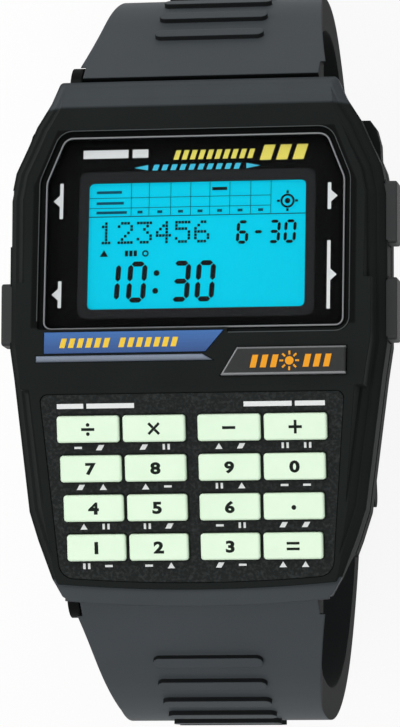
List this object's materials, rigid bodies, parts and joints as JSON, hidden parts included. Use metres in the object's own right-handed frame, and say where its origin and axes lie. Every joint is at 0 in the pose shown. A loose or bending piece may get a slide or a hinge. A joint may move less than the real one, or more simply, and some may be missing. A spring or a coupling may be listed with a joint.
{
  "type": "calculator watch",
  "caption": "Digital wristwatch with a calculator keypad under its display, side buttons, and a resin strap closed round through a pin buckle and a keeper.",
  "frame": {"origin": "on the surface that the closed strap stands on, under the middle of the case", "axes": "+Z out of the dial, +Y towards 12 o'clock, +X towards 3 o'clock"},
  "size_m": [0.0376, 0.071, 0.0526],
  "materials": {
    "resin_case": "fine matt resin",
    "resin_strap": "satin resin",
    "window_glass": "polished, clear, printed border",
    "black_gasket": "matt",
    "mask_film": "matt printed film",
    "display_cell": "pale blue reflective cell",
    "backlight_film": "pale film",
    "label_blue": "satin anodised blue",
    "trim_silver": "brushed, bright edges",
    "button_resin": "satin",
    "panel_black": "fine grained black",
    "key_white": "pale green-white, satin gloss",
    "mat_rubber": "matt silicone",
    "contact_film": "amber film with carbon pads",
    "steel": "satin steel",
    "frame_plastic": "moulded",
    "board_green": "solder mask over copper",
    "chip_black": "moulded",
    "coil_ferrite": "ferrite bobbin",
    "brass_disc": "thin brass",
    "back_steel": "vertically brushed"
  },
  "bodies": {
    "watch": {"case_body": "resin_case", "lens": "window_glass", "lens_gasket": "black_gasket", "display_mask": "mask_film", "lcd_panel": "display_cell", "backlight_panel": "backlight_film", "display_connectors": "mat_rubber", "label_plate": "label_blue", "trim_strip": "trim_silver", "keypad_panel": "panel_black", "keypad_mat": "mat_rubber", "contact_sheet": "contact_film", "button_seals": "black_gasket", "module_frame": "frame_plastic", "main_board": "board_green", "main_chip": "chip_black", "backlight_coil": "coil_ferrite", "quartz_crystal": "steel", "battery": "steel", "battery_clip": "steel", "module_back_plate": "steel", "buzzer_disc": "brass_disc", "buzzer_spring": "steel", "case_gasket": "black_gasket", "case_back": "back_steel", "case_back_screws": "steel", "spring_bar_upper": "steel", "spring_bar_lower": "steel", "adjust_spring": "steel", "mode_spring": "steel", "shift_spring": "steel", "search_spring": "steel"},
    "key_1_1": {"key_1_1": "key_white"},
    "key_1_2": {"key_1_2": "key_white"},
    "key_1_3": {"key_1_3": "key_white"},
    "key_1_4": {"key_1_4": "key_white"},
    "key_2_1": {"key_2_1": "key_white"},
    "key_2_2": {"key_2_2": "key_white"},
    "key_2_3": {"key_2_3": "key_white"},
    "key_2_4": {"key_2_4": "key_white"},
    "key_3_1": {"key_3_1": "key_white"},
    "key_3_2": {"key_3_2": "key_white"},
    "key_3_3": {"key_3_3": "key_white"},
    "key_3_4": {"key_3_4": "key_white"},
    "key_4_1": {"key_4_1": "key_white"},
    "key_4_2": {"key_4_2": "key_white"},
    "key_4_3": {"key_4_3": "key_white"},
    "key_4_4": {"key_4_4": "key_white"},
    "light_button": {"light_button": "button_resin"},
    "adjust_button": {"adjust_button": "button_resin"},
    "mode_button": {"mode_button": "button_resin"},
    "shift_button": {"shift_button": "button_resin"},
    "search_button": {"search_button": "button_resin"},
    "strap_upper": {"strap_upper": "resin_strap", "buckle_pin": "steel"},
    "strap_lower": {"strap_lower": "resin_strap"},
    "buckle": {"buckle_frame": "button_resin"},
    "tang": {"buckle_tang": "steel"},
    "keeper": {"strap_keeper": "resin_strap"}
  },
  "joints": [
    {"name": "key_1_1_press", "type": "slide", "parent": "watch", "child": "key_1_1", "axis": [0, 0.1994, -0.9799], "range_m": [0, 0.0004], "stiffness_N_per_m": 1000},
    {"name": "key_1_2_press", "type": "slide", "parent": "watch", "child": "key_1_2", "axis": [0, 0.1994, -0.9799], "range_m": [0, 0.0004], "stiffness_N_per_m": 1000},
    {"name": "key_1_3_press", "type": "slide", "parent": "watch", "child": "key_1_3", "axis": [0, 0.1994, -0.9799], "range_m": [0, 0.0004], "stiffness_N_per_m": 1000},
    {"name": "key_1_4_press", "type": "slide", "parent": "watch", "child": "key_1_4", "axis": [0, 0.1994, -0.9799], "range_m": [0, 0.0004], "stiffness_N_per_m": 1000},
    {"name": "key_2_1_press", "type": "slide", "parent": "watch", "child": "key_2_1", "axis": [0, 0.1994, -0.9799], "range_m": [0, 0.0004], "stiffness_N_per_m": 1000},
    {"name": "key_2_2_press", "type": "slide", "parent": "watch", "child": "key_2_2", "axis": [0, 0.1994, -0.9799], "range_m": [0, 0.0004], "stiffness_N_per_m": 1000},
    {"name": "key_2_3_press", "type": "slide", "parent": "watch", "child": "key_2_3", "axis": [0, 0.1994, -0.9799], "range_m": [0, 0.0004], "stiffness_N_per_m": 1000},
    {"name": "key_2_4_press", "type": "slide", "parent": "watch", "child": "key_2_4", "axis": [0, 0.1994, -0.9799], "range_m": [0, 0.0004], "stiffness_N_per_m": 1000},
    {"name": "key_3_1_press", "type": "slide", "parent": "watch", "child": "key_3_1", "axis": [0, 0.1994, -0.9799], "range_m": [0, 0.0004], "stiffness_N_per_m": 1000},
    {"name": "key_3_2_press", "type": "slide", "parent": "watch", "child": "key_3_2", "axis": [0, 0.1994, -0.9799], "range_m": [0, 0.0004], "stiffness_N_per_m": 1000},
    {"name": "key_3_3_press", "type": "slide", "parent": "watch", "child": "key_3_3", "axis": [0, 0.1994, -0.9799], "range_m": [0, 0.0004], "stiffness_N_per_m": 1000},
    {"name": "key_3_4_press", "type": "slide", "parent": "watch", "child": "key_3_4", "axis": [0, 0.1994, -0.9799], "range_m": [0, 0.0004], "stiffness_N_per_m": 1000},
    {"name": "key_4_1_press", "type": "slide", "parent": "watch", "child": "key_4_1", "axis": [0, 0.1994, -0.9799], "range_m": [0, 0.0004], "stiffness_N_per_m": 1000},
    {"name": "key_4_2_press", "type": "slide", "parent": "watch", "child": "key_4_2", "axis": [0, 0.1994, -0.9799], "range_m": [0, 0.0004], "stiffness_N_per_m": 1000},
    {"name": "key_4_3_press", "type": "slide", "parent": "watch", "child": "key_4_3", "axis": [0, 0.1994, -0.9799], "range_m": [0, 0.0004], "stiffness_N_per_m": 1000},
    {"name": "key_4_4_press", "type": "slide", "parent": "watch", "child": "key_4_4", "axis": [0, 0.1994, -0.9799], "range_m": [0, 0.0004], "stiffness_N_per_m": 1000},
    {"name": "light_press", "type": "slide", "parent": "watch", "child": "light_button", "axis": [0, -0.0872, -0.9962], "range_m": [0, 0.0004], "stiffness_N_per_m": 1000},
    {"name": "adjust_press", "type": "slide", "parent": "watch", "child": "adjust_button", "axis": [1, 0, 0], "range_m": [0, 0.0006], "stiffness_N_per_m": 1500, "deforming": ["adjust_spring"]},
    {"name": "mode_press", "type": "slide", "parent": "watch", "child": "mode_button", "axis": [1, 0, 0], "range_m": [0, 0.0006], "stiffness_N_per_m": 1500, "deforming": ["mode_spring"]},
    {"name": "shift_press", "type": "slide", "parent": "watch", "child": "shift_button", "axis": [-1, 0, 0], "range_m": [0, 0.0006], "stiffness_N_per_m": 1500, "deforming": ["shift_spring"]},
    {"name": "search_press", "type": "slide", "parent": "watch", "child": "search_button", "axis": [-1, 0, 0], "range_m": [0, 0.0006], "stiffness_N_per_m": 1500, "deforming": ["search_spring"]},
    {"name": "strap_upper_hinge", "type": "hinge", "parent": "watch", "child": "strap_upper", "pos_m": [0, 0.0233, 0.04452], "axis": [1, 0, 0], "range_deg": [0, 30]},
    {"name": "strap_lower_hinge", "type": "hinge", "parent": "watch", "child": "strap_lower", "pos_m": [0, -0.0233, 0.04452], "axis": [1, 0, 0], "range_deg": [-30, 0]},
    {"name": "buckle_hinge", "type": "hinge", "parent": "strap_upper", "child": "buckle", "pos_m": [0, 0.00136, 0.00569], "axis": [1, 0, 0], "range_deg": [0, 50]},
    {"name": "tang_hinge", "type": "hinge", "parent": "strap_upper", "child": "tang", "pos_m": [0, 0.00136, 0.00569], "axis": [1, 0, 0], "range_deg": [-60, 0]},
    {"name": "keeper_slide", "type": "hinge", "parent": "strap_upper", "child": "keeper", "pos_m": [0, 0, 0.04452], "axis": [1, 0, 0], "range_deg": [-4, 8]}
  ],
  "couplings": [
    {"joint": "strap_lower_hinge", "follows": "strap_upper_hinge", "ratio": -1}
  ]
}
